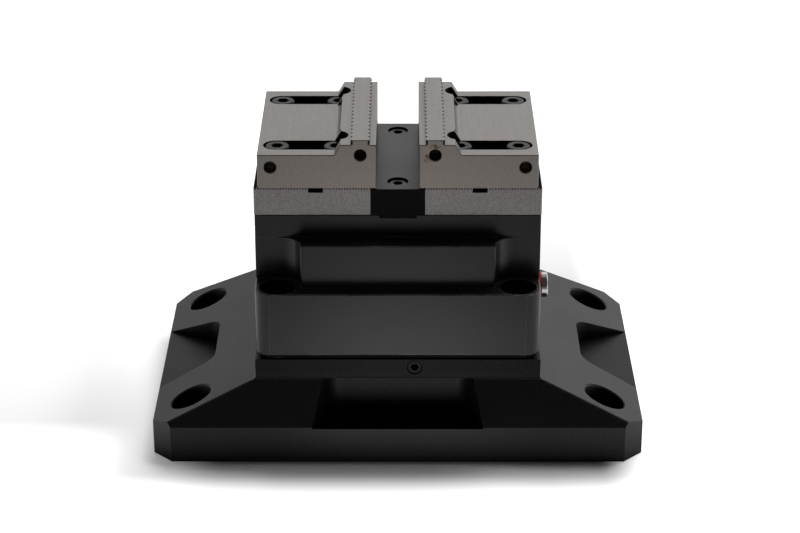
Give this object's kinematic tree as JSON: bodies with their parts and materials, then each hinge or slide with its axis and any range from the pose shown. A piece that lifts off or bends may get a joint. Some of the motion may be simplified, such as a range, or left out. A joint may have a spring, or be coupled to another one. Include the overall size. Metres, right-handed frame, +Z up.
{
  "type": "self centering vise",
  "caption": "Air-operated self-centring vise with stepped, serrated top jaws on a black clamping riser with sloped flanks.",
  "frame": {"origin": "centre of the riser's underside", "axes": "+X along the jaws' travel, from the left jaw to the right jaw as the front shows them; +Y from front to back; +Z up"},
  "size_m": [0.269, 0.1716, 0.1751],
  "materials": {
    "black_riser": "hard anodised black, satin",
    "black_housing": "nitrided black, satin",
    "black_cover": "nitrided black, satin",
    "black_screw": "black oxide",
    "jaw_screw_steel": "dark phosphated",
    "base_jaw_steel": "ground, hardened, mottled grey",
    "top_jaw_steel": "ground, hardened, warm grey",
    "plain_steel": "ground",
    "plain_aluminium": "turned",
    "bright_plug": "nickel plated",
    "red_seal": "moulded",
    "black_rubber": "moulded",
    "guide_plastic": "turned"
  },
  "bodies": {
    "housing": {"riser_base": "black_riser", "gallery_plugs": "black_screw", "vise_body": "black_housing", "body_mounting_screws": "black_screw", "centring_sleeves": "plain_steel", "transfer_seals": "black_rubber", "cylinder_cover": "plain_aluminium", "cylinder_cover_seal": "black_rubber", "cylinder_cover_screws": "black_screw", "rod_seal": "black_rubber", "centre_cover": "black_cover", "centre_cover_screws": "black_screw", "port_plugs": "bright_plug", "port_seals": "red_seal"},
    "jaw_right": {"base_jaw_right": "base_jaw_steel", "top_jaw_right": "top_jaw_steel", "jaw_screws_right": "jaw_screw_steel"},
    "jaw_left": {"base_jaw_left": "base_jaw_steel", "top_jaw_left": "top_jaw_steel", "jaw_screws_left": "jaw_screw_steel"},
    "drive": {"wedge_hook": "plain_steel", "piston": "plain_aluminium", "piston_seal": "black_rubber", "piston_guide_ring": "guide_plastic", "piston_screw": "black_screw"}
  },
  "joints": [
    {"name": "jaw_right_slide", "type": "slide", "parent": "housing", "child": "jaw_right", "axis": [1, 0, 0], "range_m": [0, 0.003]},
    {"name": "jaw_left_slide", "type": "slide", "parent": "housing", "child": "jaw_left", "axis": [-1, 0, 0], "range_m": [0, 0.003]},
    {"name": "piston_slide", "type": "slide", "parent": "housing", "child": "drive", "axis": [0, 0, 1], "range_m": [0, 0.00825]}
  ],
  "couplings": [
    {"joint": "jaw_left_slide", "follows": "jaw_right_slide", "ratio": 1},
    {"joint": "piston_slide", "follows": "jaw_right_slide", "ratio": 2.7475}
  ]
}
